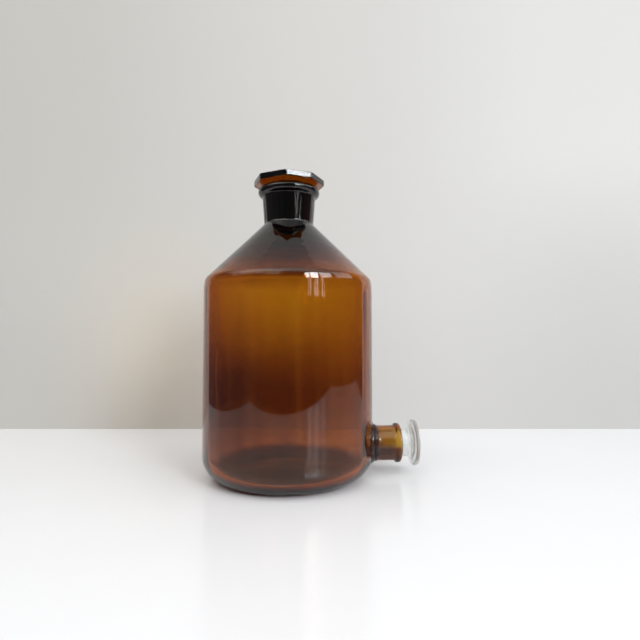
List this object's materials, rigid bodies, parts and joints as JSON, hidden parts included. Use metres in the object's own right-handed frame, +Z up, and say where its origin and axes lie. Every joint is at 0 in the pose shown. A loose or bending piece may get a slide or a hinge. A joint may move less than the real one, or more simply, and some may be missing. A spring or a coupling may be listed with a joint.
{
  "type": "aspirator bottle",
  "caption": "Amber glass aspirator bottle: flat-based cylinder, conical shoulder, short neck with octagonal ground stopper, side outlet near the base with clear ground stopper.",
  "frame": {"origin": "on the bottle's axis, in the plane of the resting ring under the base", "axes": "+Z up along the bottle's axis, +X along the outlet, away from the bottle"},
  "size_m": [0.2312, 0.182, 0.3223],
  "materials": {
    "amber_glass": "polished, ground inside the neck and outlet",
    "amber_stopper_glass": "polished head, ground plug",
    "clear_glass": "polished head, ground plug"
  },
  "bodies": {
    "bottle": {"bottle_body": "amber_glass", "outlet_tubulature": "amber_glass"},
    "neck_stopper": {"neck_stopper": "amber_stopper_glass"},
    "outlet_stopper": {"outlet_stopper": "clear_glass"}
  },
  "joints": [
    {"name": "neck_stopper_lift", "type": "slide", "parent": "bottle", "child": "neck_stopper", "axis": [0, 0, 1], "range_m": [0, 0.06]},
    {"name": "outlet_stopper_pull", "type": "slide", "parent": "bottle", "child": "outlet_stopper", "axis": [1, 0, 0], "range_m": [0, 0.045]}
  ]
}
